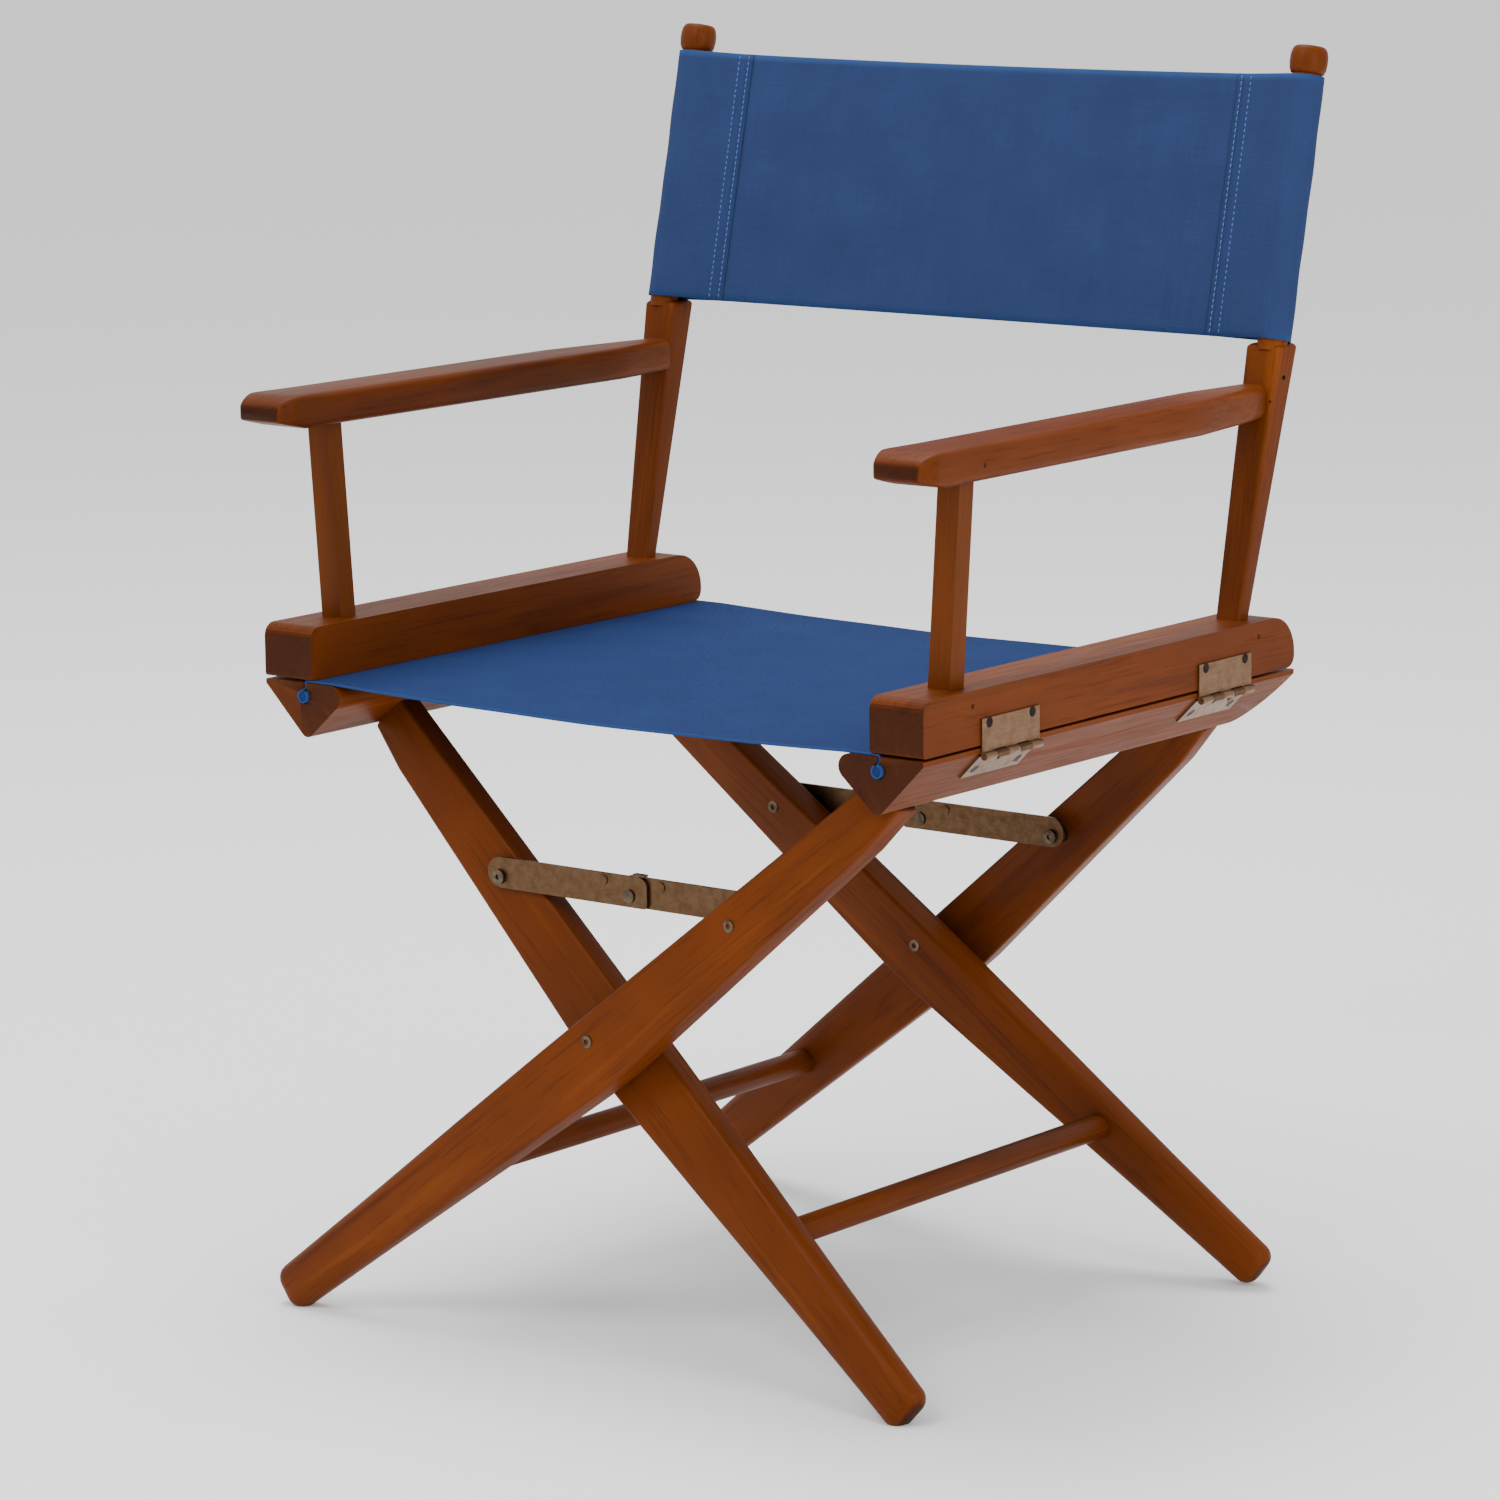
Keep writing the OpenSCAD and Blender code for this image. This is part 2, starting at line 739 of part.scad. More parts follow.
color(BRASS) link_stud(-1, link2_y[1]);  // link_stud_rear
color(BRASS) {  // brace_bolts_outer
    link2_bolt(FRONT_OUTER, link2_y[0]);
    link1_bolt(REAR_OUTER, link1_y[1]);
}
color(BRASS) {  // brace_bolts_inner
    link1_bolt(FRONT_INNER, link1_y[0]);
    link2_bolt(REAR_INNER, link2_y[1]);
}
color(BRASS) {  // brace_spacers_outer
    brace_spacer(FRONT_OUTER, leg_face(FRONT_OUTER, brace_z) + leg_t - 3, link2_y[0] - 0.4);
    brace_spacer(REAR_OUTER, link1_y[1] + link_t + 0.1, leg_face(REAR_OUTER, brace_z) + 3);
}
color(BRASS) {  // brace_spacers_inner
    brace_spacer(FRONT_INNER, link1_y[0] + link_t + 0.1, leg_face(FRONT_INNER, brace_z) + 3);
    brace_spacer(REAR_INNER, leg_face(REAR_INNER, brace_z) + leg_t - 3, link2_y[1] - 0.4);
}
color(CLOTH) seat_canvas();
color(CLOTH) back_canvas();
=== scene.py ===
"""Folding armchair in stained wood and blue canvas, finished for rendering around its CAD frame."""

import json
import math
import random

import bmesh
import bpy
from mathutils import Matrix, Vector

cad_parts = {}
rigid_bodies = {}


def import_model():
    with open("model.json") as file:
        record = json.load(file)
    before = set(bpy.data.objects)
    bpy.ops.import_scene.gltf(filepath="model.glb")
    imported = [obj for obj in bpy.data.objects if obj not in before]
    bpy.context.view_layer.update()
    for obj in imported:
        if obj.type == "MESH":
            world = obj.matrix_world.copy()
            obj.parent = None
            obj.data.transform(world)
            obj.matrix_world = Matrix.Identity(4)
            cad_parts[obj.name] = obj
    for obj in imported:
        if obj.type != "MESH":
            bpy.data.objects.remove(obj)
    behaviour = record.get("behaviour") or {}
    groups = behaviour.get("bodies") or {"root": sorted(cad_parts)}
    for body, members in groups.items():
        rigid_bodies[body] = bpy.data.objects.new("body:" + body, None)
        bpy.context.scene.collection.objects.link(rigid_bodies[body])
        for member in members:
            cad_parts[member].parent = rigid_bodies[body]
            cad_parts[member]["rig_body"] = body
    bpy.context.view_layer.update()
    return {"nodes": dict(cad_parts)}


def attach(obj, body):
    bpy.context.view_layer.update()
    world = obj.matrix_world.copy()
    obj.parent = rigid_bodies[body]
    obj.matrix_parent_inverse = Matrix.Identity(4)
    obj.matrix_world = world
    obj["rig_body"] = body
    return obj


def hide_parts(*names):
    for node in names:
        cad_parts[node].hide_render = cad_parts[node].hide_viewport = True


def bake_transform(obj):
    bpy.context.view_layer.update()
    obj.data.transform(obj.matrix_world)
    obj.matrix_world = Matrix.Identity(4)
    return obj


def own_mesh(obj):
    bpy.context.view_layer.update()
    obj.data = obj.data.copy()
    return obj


MM = 0.001
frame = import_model()
nodes = frame["nodes"]


# ---- material helpers ----


def material(name):
    mat = bpy.data.materials.new(name)
    mat.use_nodes = True
    tree = mat.node_tree
    tree.nodes.clear()
    out = tree.nodes.new("ShaderNodeOutputMaterial")
    bsdf = tree.nodes.new("ShaderNodeBsdfPrincipled")
    tree.links.new(bsdf.outputs[0], out.inputs[0])
    return mat, tree, bsdf


def noise(tree, vector, scale, detail=4.0, rough=0.55, distort=0.0):
    n = tree.nodes.new("ShaderNodeTexNoise")
    n.inputs["Scale"].default_value = scale
    n.inputs["Detail"].default_value = detail
    n.inputs["Roughness"].default_value = rough
    n.inputs["Distortion"].default_value = distort
    tree.links.new(vector, n.inputs["Vector"])
    return n.outputs["Fac"]


def ramp(tree, value, stops):
    n = tree.nodes.new("ShaderNodeValToRGB")
    tree.links.new(value, n.inputs[0])
    elements = n.color_ramp.elements
    while len(elements) < len(stops):
        elements.new(0.5)
    for e, (place, colour) in zip(elements, stops):
        e.position = place
        e.color = (*colour, 1)
    return n.outputs["Color"]


def grey(v):
    return (v, v, v)


def mix(tree, a, b, factor, mode="MIX"):
    n = tree.nodes.new("ShaderNodeMix")
    n.data_type = "RGBA"
    n.blend_type = mode
    for socket, value in ((n.inputs[0], factor), (n.inputs[6], a), (n.inputs[7], b)):
        if isinstance(value, bpy.types.NodeSocket):
            tree.links.new(value, socket)
        elif isinstance(value, tuple):
            socket.default_value = (*value, 1)
        else:
            socket.default_value = value
    return n.outputs[2]


def maths(tree, op, a, b=0.0, c=0.5):
    n = tree.nodes.new("ShaderNodeMath")
    n.operation = op
    for socket, value in zip(n.inputs, (a, b, c)):
        if isinstance(value, bpy.types.NodeSocket):
            tree.links.new(value, socket)
        else:
            socket.default_value = value
    return n.outputs[0]


def scaled(tree, vector, factors, turn=(0, 0, 0), shift=(0, 0, 0), kind="POINT"):
    n = tree.nodes.new("ShaderNodeMapping")
    n.vector_type = kind
    n.inputs["Location"].default_value = shift
    n.inputs["Rotation"].default_value = turn
    n.inputs["Scale"].default_value = factors
    tree.links.new(vector, n.inputs["Vector"])
    return n.outputs[0]


def bump(tree, bsdf, height, strength, distance):
    n = tree.nodes.new("ShaderNodeBump")
    n.inputs["Strength"].default_value = strength
    n.inputs["Distance"].default_value = distance
    tree.links.new(height, n.inputs["Height"])
    tree.links.new(n.outputs[0], bsdf.inputs["Normal"])


def object_coords(tree):
    return tree.nodes.new("ShaderNodeTexCoord").outputs["Object"]


# ---- materials ----

WOOD_DARK = (0.062, 0.0105, 0.0004)
WOOD_MID = (0.118, 0.0235, 0.0006)
WOOD_LIGHT = (0.172, 0.040, 0.0016)
WOOD_WORN = (0.19, 0.046, 0.003)


def wood(name, along, seed, tone=1.0):
    """Stained hardwood with its grain running along the given direction, darker on cut ends; tone
    darkens the whole piece as painted shade.
    """
    mat, tree, bsdf = material(name)
    turn = Vector(along).to_track_quat("X", "Z").to_euler()
    rng = random.Random(seed)
    shift = [rng.uniform(-3, 3) for _ in range(3)]
    place = object_coords(tree)
    grain = scaled(tree, place, (0.42, 0.020, 0.020), turn, shift, "TEXTURE")
    pores = scaled(tree, place, (0.055, 0.0022, 0.0022), turn, shift, "TEXTURE")
    figure = noise(tree, grain, 1.0, 6.0, 0.62, 0.7)
    colour = ramp(
        tree, figure, [(0.24, WOOD_DARK), (0.45, WOOD_MID), (0.57, WOOD_MID), (0.78, WOOD_LIGHT)]
    )
    fine = noise(tree, pores, 1.0, 3.0, 0.6, 0.2)
    dark = ramp(tree, fine, [(0.33, grey(0.5)), (0.44, grey(1.0))])
    colour = mix(tree, colour, dark, 0.5, "MULTIPLY")
    broad = noise(tree, place, 9.0, 2.0, 0.5)
    patch = ramp(tree, broad, [(0.3, grey(0.78)), (0.7, grey(1.12))])
    colour = mix(tree, colour, patch, 1.0, "MULTIPLY")
    across = tree.nodes.new("ShaderNodeVectorMath")
    across.operation = "DOT_PRODUCT"
    across.inputs[1].default_value = Vector(along).normalized()
    facing = tree.nodes.new("ShaderNodeTexCoord").outputs["Normal"]
    tree.links.new(facing, across.inputs[0])
    cut = maths(tree, "ABSOLUTE", across.outputs["Value"])
    # tone darkens the whole piece as painted shade for pieces that sit in shade; cut ends are
    # darker still.
    ends = ramp(tree, cut, [(0.78, grey(tone)), (0.96, grey(0.36 * tone))])
    colour = mix(tree, colour, ends, 1.0, "MULTIPLY")
    edges = tree.nodes.new("ShaderNodeNewGeometry").outputs["Pointiness"]
    rubbed = ramp(tree, edges, [(0.53, grey(0.0)), (0.62, grey(0.3))])
    colour = mix(tree, colour, WOOD_WORN, rubbed)
    tree.links.new(colour, bsdf.inputs["Base Color"])
    gloss = ramp(tree, fine, [(0.35, grey(0.55)), (0.65, grey(0.44))])
    tree.links.new(gloss, bsdf.inputs["Roughness"])
    bsdf.inputs["Specular IOR Level"].default_value = 0.08
    bsdf.inputs["Coat Weight"].default_value = 0.03
    bsdf.inputs["Coat Roughness"].default_value = 0.25
    bump(tree, bsdf, fine, 0.2, 0.0005)
    return mat


def metal(name, base, worn, rough_low, rough_high, seed):
    """Old bronze or steel: mottled, brushed along its length, bright where it rubs."""
    mat, tree, bsdf = material(name)
    place = object_coords(tree)
    shift = (seed, -seed, 0.5 * seed)
    brushed = scaled(tree, place, (0.004, 0.03, 0.0016), (0, 0, 0), shift, "TEXTURE")
    cloud = noise(tree, place, 160.0 + seed, 5.0, 0.6)
    lines = noise(tree, brushed, 1.0, 3.0, 0.6)
    colour = ramp(tree, cloud, [(0.34, base), (0.62, worn)])
    streak = ramp(tree, lines, [(0.3, grey(0.85)), (0.7, grey(1.1))])
    colour = mix(tree, colour, streak, 0.8, "MULTIPLY")
    tree.links.new(colour, bsdf.inputs["Base Color"])
    gloss = ramp(tree, cloud, [(0.3, grey(rough_high)), (0.7, grey(rough_low))])
    tree.links.new(gloss, bsdf.inputs["Roughness"])
    bsdf.inputs["Metallic"].default_value = 1.0
    bump(tree, bsdf, lines, 0.15, 0.0003)
    return mat


CLOTH_SEAT = (0.0125, 0.0300, 0.106)
CLOTH_BACK = (0.0235, 0.0410, 0.113)
# Lighter blue along the hems: a painted highlight where the folded hem catches the light.
CLOTH_HEM_HIGHLIGHT = (0.022, 0.066, 0.20)
YARN_PITCH = 0.85 * MM


def canvas(name, base, hem_highlights):
    """Plain-woven cotton canvas; cloth_uv holds each point's place on the flat cloth, in metres."""
    mat, tree, bsdf = material(name)
    flat = tree.nodes.new("ShaderNodeAttribute")
    flat.attribute_name = "cloth_uv"
    uv = flat.outputs["Vector"]
    parts = tree.nodes.new("ShaderNodeSeparateXYZ")
    tree.links.new(uv, parts.inputs[0])
    pitch = math.pi / YARN_PITCH
    warp = maths(tree, "SINE", maths(tree, "MULTIPLY", parts.outputs[0], pitch))
    weft = maths(tree, "SINE", maths(tree, "MULTIPLY", parts.outputs[1], pitch))
    weave = maths(tree, "MULTIPLY", warp, weft)
    slub_u = noise(tree, scaled(tree, uv, (18, 1100, 1)), 1.0, 2.0, 0.5)
    slub_v = noise(tree, scaled(tree, uv, (1100, 18, 1)), 1.0, 2.0, 0.5)
    threads = maths(tree, "ADD", slub_u, slub_v)
    mean = maths(tree, "MULTIPLY", threads, 0.5)
    tone = ramp(tree, mean, [(0.3, grey(0.91)), (0.7, grey(1.09))])
    mottle = noise(tree, scaled(tree, uv, (1, 1, 1)), 22.0, 4.0, 0.6)
    faded = ramp(tree, mottle, [(0.3, grey(0.93)), (0.7, grey(1.07))])
    raised = maths(tree, "MULTIPLY_ADD", weave, 0.5, 0.5)
    cross = ramp(tree, raised, [(0.0, grey(0.86)), (1.0, grey(1.1))])
    colour = mix(tree, base, tone, 1.0, "MULTIPLY")
    colour = mix(tree, colour, faded, 1.0, "MULTIPLY")
    colour = mix(tree, colour, cross, 0.7, "MULTIPLY")
    # Painted highlight: points marked as hem are mixed towards a lighter blue, standing for the
    # folded edge catching the light.
    edge = tree.nodes.new("ShaderNodeAttribute")
    edge.attribute_name = "hem"
    hem_highlight_weight = maths(tree, "MULTIPLY", edge.outputs["Fac"], hem_highlights)
    colour = mix(tree, colour, CLOTH_HEM_HIGHLIGHT, hem_highlight_weight)
    tree.links.new(colour, bsdf.inputs["Base Color"])
    bsdf.inputs["Roughness"].default_value = 0.82
    bsdf.inputs["Specular IOR Level"].default_value = 0.03
    bsdf.inputs["Sheen Weight"].default_value = 0.01
    bsdf.inputs["Sheen Roughness"].default_value = 0.5
    height = maths(tree, "ADD", weave, maths(tree, "MULTIPLY", threads, 1.6))
    bump(tree, bsdf, height, 0.35, 0.00025)
    return mat


def thread(name, base):
    """Twisted cotton sewing thread."""
    mat, tree, bsdf = material(name)
    fibres = noise(tree, object_coords(tree), 900.0, 3.0, 0.6)
    twist = ramp(tree, fibres, [(0.3, grey(0.75)), (0.7, grey(1.2))])
    colour = mix(tree, base, twist, 1.0, "MULTIPLY")
    tree.links.new(colour, bsdf.inputs["Base Color"])
    bsdf.inputs["Roughness"].default_value = 0.7
    bump(tree, bsdf, fibres, 0.3, 0.0002)
    return mat


# ---- mesh helpers ----


def link(obj):
    bpy.context.scene.collection.objects.link(obj)
    return obj


def paint(obj, mat):
    obj.data.materials.clear()
    obj.data.materials.append(mat)


def add_object(name, mesh, mat, body):
    """A new piece that rides on a body."""
    obj = link(bpy.data.objects.new(name, mesh))
    paint(obj, mat)
    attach(obj, body)
    return obj


def skin(bm, rings):
    """Adds a closed surface through rings of points, with a flat cap at each end."""
    verts = [[bm.verts.new(p) for p in ring] for ring in rings]
    for p, q in zip(verts, verts[1:]):
        for i in range(len(p)):
            j = (i + 1) % len(p)
            bm.faces.new((p[i], p[j], q[j], q[i]))
    bm.faces.new(list(reversed(verts[0])))
    bm.faces.new(verts[-1])


def take_mesh(bm, name):
    """Ends a bmesh as a smooth-shaded mesh."""
    mesh = bpy.data.meshes.new(name)
    bm.to_mesh(mesh)
    bm.free()
    for polygon in mesh.polygons:
        polygon.use_smooth = True
    return mesh


def arc_lengths(points):
    """The distance along a line of points, at each of them."""
    lengths = [0]
    for a, b in zip(points, points[1:]):
        lengths.append(lengths[-1] + math.dist(a, b))
    return lengths


def lerp_table(table, at):
    """Straight-line interpolation in a short list of (place, value) pairs."""
    for (a, u), (b, v) in zip(table, table[1:]):
        if at <= b:
            return u + (v - u) * max(0.0, at - a) / (b - a)
    return table[-1][1]


def apply_modifiers(obj):
    depsgraph = bpy.context.evaluated_depsgraph_get()
    mesh = bpy.data.meshes.new_from_object(obj.evaluated_get(depsgraph))
    obj.modifiers.clear()
    old = obj.data
    obj.data = mesh
    bpy.data.meshes.remove(old)


def soften(obj, width, segments=3, angle=32):
    """Rounds a CAD solid's sharp edges."""
    weld = obj.modifiers.new("weld", "WELD")
    weld.merge_threshold = 0.00002
    bevel = obj.modifiers.new("bevel", "BEVEL")
    bevel.width = width
    bevel.segments = segments
    bevel.limit_method = "ANGLE"
    bevel.angle_limit = math.radians(angle)
    bevel.use_clamp_overlap = True
    bevel.harden_normals = True


# ---- wood and metal pieces carried over from the CAD ----

LEG_ANGLE = math.radians(38.6)
# Each leg: the side its top leans to, its rake along the chair, and its front face at the pivot.
LEGS = {
    "leg_front_outer": (1, 0.11, -221),
    "leg_front_inner": (-1, 0.19, -187),
    "leg_rear_inner": (-1, -0.18, 139),
    "leg_rear_outer": (1, -0.18, 175),
}
BACK_LEAN = math.radians(13.1)


def grain_of(name):
    if name in LEGS:
        side, rake, _ = LEGS[name]
        rise = math.sin(LEG_ANGLE)
        return (side * math.cos(LEG_ANGLE), rake * rise, rise)
    if name.startswith("front_post"):
        return (0.07, 0, 1)
    if name.startswith("back_post"):
        return (0, 0.227, 0.974)
    return (0.015, 1, 0)


def side_of(name):
    return -1 if name.endswith("left") else 1


PAIRED = ("upper_rail", "front_post", "back_post", "armrest", "lower_rail")
WOOD_NODES = [f"{piece}_{side}" for piece in PAIRED for side in ("left", "right")]
WOOD_NODES += [*LEGS, "stretcher_left", "stretcher_right"]
BEVELS = {"upper_rail": 3.4, "lower_rail": 1.5, "front_post": 2.6}


def rounded(a0, a1, b0, b1, radius, corner=5):
    """A ring of (a, b) points round a rectangle with rounded corners."""
    r = min(radius, 0.499 * (a1 - a0), 0.499 * (b1 - b0))
    ring = []
    centres = ((a1 - r, b1 - r), (a0 + r, b1 - r), (a0 + r, b0 + r), (a1 - r, b0 + r))
    for quarter, (ca, cb) in enumerate(centres):
        for k in range(corner + 1):
            turn = math.radians(90 * (quarter + k / corner))
            ring.append((ca + r * math.cos(turn), cb + r * math.sin(turn)))
    return ring


def loft(name, parts, mat, node):
    """Joins each part's rings of points into a closed solid; together they stand for a CAD node."""
    bm = bmesh.new()
    for rings in parts:
        skin(bm, rings)
    bmesh.ops.recalc_face_normals(bm, faces=bm.faces)
    mesh = take_mesh(bm, name)
    mesh.set_sharp_from_angle(angle=math.radians(42))
    obj = add_object(name, mesh, mat, nodes[node]["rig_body"])
    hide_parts(node)


# In millimetres: distances along a leg are from its pivot, and across it from its centre line.
LEG_END = 300
LEG_UPPER_EDGE = 16
LEG_LOWER_EDGE = [(-345, -16), (-14, -33), (14, -33), (290, -17), (LEG_END, -12)]
LEG_ROUNDING = [(-345, 10.9), (-230, 9), (-120, 4.5), (-40, 2.6), (LEG_END, 2.4)]
FOOT_DOME = 9
PIVOT_Z = 216.5
LEG_T = 22
LEG_END_RINGS = [(LEG_END - 1.4, 0), (LEG_END - 0.4, 0.5), (LEG_END, 1.6)]


def build_leg(node, mat):
    """A leg with a bent lower edge, a domed foot and an eased top."""
    side, rake, y0 = LEGS[node]
    lean = math.atan(rake)
    pitch = math.atan(math.tan(LEG_ANGLE) / math.cos(lean))
    run, rise = math.cos(pitch), math.sin(pitch)
    along = Vector((side * run, rise * math.sin(lean), rise * math.cos(lean)))
    wide = Vector((-side * rise, run * math.sin(lean), run * math.cos(lean)))
    deep = Vector((0, math.cos(lean), -math.sin(lean)))
    corner = FOOT_DOME * (rise + run - 1) - LEG_UPPER_EDGE * run
    foot = (PIVOT_Z / math.cos(lean) + corner) / rise
    stations = []
    for k in range(7):
        turn = math.radians(15 * k)
        inset = FOOT_DOME * (1 - math.sin(turn))
        stations.append((-foot + FOOT_DOME * (1 - math.cos(turn)), inset))
    inner = [-LEG_END + 20 * k for k in range(15)] + [-14, 0, 14] + [30 + 26 * k for k in range(10)]
    stations += [(s, 0) for s in inner] + LEG_END_RINGS
    rings = []
    for s, inset in stations:
        low = lerp_table(LEG_LOWER_EDGE, s) + inset
        radius = max(lerp_table(LEG_ROUNDING, s) - 0.6 * inset, 1.5)
        section = rounded(low, LEG_UPPER_EDGE - inset, inset, LEG_T - inset, radius)
        ring = []
        for w, n in section:
            p = Vector((0, y0, PIVOT_Z)) + along * s + wide * w + deep * n
            ring.append((p.x * MM, p.y * MM, max(p.z, 0.0) * MM))
        rings.append(ring)
    loft("turned_" + node, [rings], mat, node)


ARM_FRONT = -234
ARM_TOP = 626
ARM_T = 23
ARM_X = 265.5
POST_Y = -170
ARM_TURN = math.radians(0.9)
ARM_CORNER = ARM_FRONT + 14
ARM_OUTER = [(ARM_FRONT, 17.5), (ARM_CORNER, 22.5), (80, 22.5), (150, 12.2), (172, 8), (200, 6)]
ARM_INNER = [(ARM_FRONT, -17.5), (ARM_CORNER, -22.5), (120, -22.5), (172, -16), (200, -13)]
ARM_ROUNDING = [(ARM_FRONT, 2.0), (-214, 3.4), (-185, 5.4), (200, 6.0)]
ARM_NOSE = (0, 0.5, 1.4, 3, 5, 8, 11, 14, 16, 20, 25, 30, 38, 46, 54)
ARM_REAR = [95, 110, 120, 130, 140, 150, 160, 168, 177.6]
END_EASE = 1.4
# The arm's underside rises and its top rolls over, both straight back from the front end.
ARM_RISE, ARM_RISE_RUN = 6, 25
ARM_ROLL, ARM_ROLL_RUN = 10, 20


def build_armrest(node, side, mat):
    """A flat arm, narrowed towards the back post, with its front end rolled over."""
    ys = [ARM_FRONT + t for t in ARM_NOSE]
    ys += [POST_Y + 25 * k for k in range(11)] + ARM_REAR
    rings = []
    for y in sorted(set(ys)):
        t = y - ARM_FRONT
        inset = max(0.0, END_EASE - t)
        low = lerp_table(ARM_INNER, y) + inset
        high = lerp_table(ARM_OUTER, y) - inset
        bottom = ARM_TOP - ARM_T + ARM_RISE * max(0.0, 1 - t / ARM_RISE_RUN) + 0.7 * inset
        curve = max(0.0, 1 - t / ARM_ROLL_RUN)
        top = ARM_TOP - ARM_ROLL * (1 - math.sqrt(1 - curve**2)) - 0.7 * inset
        ring = []
        for a, z in rounded(low, high, bottom, top, lerp_table(ARM_ROUNDING, y)):
            x = ARM_X + a * math.cos(ARM_TURN) - (y - POST_Y) * math.sin(ARM_TURN)
            along = POST_Y + a * math.sin(ARM_TURN) + (y - POST_Y) * math.cos(ARM_TURN)
            ring.append((side * x * MM, along * MM, z * MM))
        rings.append(ring)
    loft("shaped_" + node, [rings], mat, node)


# The post's x and y limits at its foot and at its shoulder.
POST_FOOT = (246.5, 265.5, 148, 161)
POST_TOP = (246.5, 273.1, 184.3, 207.6)
POST_Z0 = 470
POST_Z1 = 649
# Radii and heights of the turned knob.
FINIAL = [(9.2, 0), (11.2, 1.2), (12.4, 4), (12.9, 8.5), (12.8, 12.5), (12.1, 16.2)]
FINIAL += [(10.9, 18.4), (9.6, 19.3), (5, 19.9), (0.5, 20.1)]
NECK_R = 10.25
NECK_FOOT = (262, 193, 650)
FINIAL_AT = 183.2


def neck_ring(side, r, h):
    """A circle round the leaning neck, at a height along it."""
    ring = []
    x0, y0, z0 = NECK_FOOT
    for k in range(28):
        turn = 2 * math.pi * k / 28
        out = r * math.sin(turn)
        x = x0 + r * math.cos(turn)
        y = y0 + h * math.sin(BACK_LEAN) + out * math.cos(BACK_LEAN)
        z = z0 + h * math.cos(BACK_LEAN) - out * math.sin(BACK_LEAN)
        ring.append((side * x * MM, y * MM, z * MM))
    return ring


def build_back_post(node, side, mat):
    """The square post with its flat shoulder, then the round neck and its finial."""
    post = []
    shoulder = [(649.2, 0), (650.8, 0.6), (652, 2.2)]
    for z, inset in [(POST_Z0 + 17 * k, 0) for k in range(11)] + shoulder:
        t = (z - POST_Z0) / (POST_Z1 - POST_Z0)
        x0, x1, y0, y1 = (a + (b - a) * min(t, 1) for a, b in zip(POST_FOOT, POST_TOP))
        section = rounded(x0 + inset, x1 - inset, y0 + inset, y1 - inset, 2.6)
        post.append([(side * x * MM, y * MM, z * MM) for x, y in section])
    neck = [neck_ring(side, NECK_R, h) for h in (-3, 40, 90, 140, FINIAL_AT + 1)]
    knob = [neck_ring(side, r, FINIAL_AT + h) for r, h in FINIAL]
    loft("shaped_" + node, [post, neck, knob], mat, node)


# Painted shade: how far the colour is darkened on the pieces that look darker than the rest because
# of how light falls on them; the rest have 1.
PAINTED_SHADE_TONES = {
    "front_post_left": 0.66,
    "front_post_right": 0.66,
    "armrest_left": 0.72,
    "back_post_left": 0.85,
    "upper_rail_left": 0.92,
    "leg_front_inner": 0.92,
    "stretcher_left": 0.78,
    "stretcher_right": 0.85,
}


def finish_wood():
    for seed, name in enumerate(WOOD_NODES):
        mat = wood("wood_" + name, grain_of(name), seed, PAINTED_SHADE_TONES.get(name, 1.0))
        if name in LEGS:
            build_leg(name, mat)
        elif name.startswith("armrest"):
            build_armrest(name, side_of(name), mat)
        elif name.startswith("back_post"):
            build_back_post(name, side_of(name), mat)
        else:
            obj = nodes[name]
            paint(obj, mat)
            soften(obj, BEVELS.get(name.rsplit("_", 1)[0], 1.0) * MM)


def finish_metal():
    bronze = metal("bronze", (0.175, 0.092, 0.048), (0.215, 0.125, 0.070), 0.34, 0.46, 3.0)
    brace = metal("brace_bronze", (0.098, 0.052, 0.025), (0.122, 0.069, 0.036), 0.34, 0.48, 5.0)
    steel = metal("bolt_metal", (0.060, 0.040, 0.026), (0.13, 0.095, 0.066), 0.3, 0.45, 7.0)
    screw = metal("screw_metal", (0.010, 0.007, 0.005), (0.024, 0.016, 0.011), 0.45, 0.6, 8.0)
    brad = metal("brad_metal", (0.010, 0.006, 0.004), (0.022, 0.014, 0.010), 0.45, 0.6, 9.0)
    finishes = {
        "hinge": (bronze, "bronzed_steel"),
        "screws": (screw, "bronzed_steel"),
        "brace_link": (brace, "bronzed_steel"),
        "arm_brads": (brad, "steel_brads"),
    }
    for name, obj in nodes.items():
        if name in WOOD_NODES or name.endswith("canvas"):
            continue
        mat, slot = steel, "bolt_metal"
        for mark, finish in finishes.items():
            if mark in name:
                mat, slot = finish
        if name.startswith("seat_rod"):
            mat, slot = wood("wood_" + name, (0, 1, 0), 40), "stained_wood"
        paint(obj, mat)
        soften(obj, 0.25 * MM, 2)


BRAD_PLUGS = [
    (277.5, -170, 460),
    (277.5, 154.5, 460),
    (288.0, -170, 613),
    (272.6, 191.6, 630),
]


# How far each ring of a plug stands out of the wood, and its radius.
PLUG_RINGS = ((-0.8, 1.5), (0.05, 1.5), (0.16, 1.25), (0.05, 0.8), (-0.1, 0.3))


def build_brad_plugs(name, side, mat):
    """The dished dark filler over each brad, on the outer faces of an arm assembly."""
    bm = bmesh.new()
    turns = [math.radians(22.5 * k) for k in range(16)]
    for x, y, z in BRAD_PLUGS:
        rings = []
        for out, r in PLUG_RINGS:
            ring = []
            for turn in turns:
                at = (side * (x + out), y + r * math.cos(turn), z + r * math.sin(turn))
                ring.append([c * MM for c in at])
            rings.append(ring)
        skin(bm, rings)
    bmesh.ops.recalc_face_normals(bm, faces=bm.faces)
    body = "arm_left" if side < 0 else "arm_right"
    add_object(name, take_mesh(bm, name), mat, body)


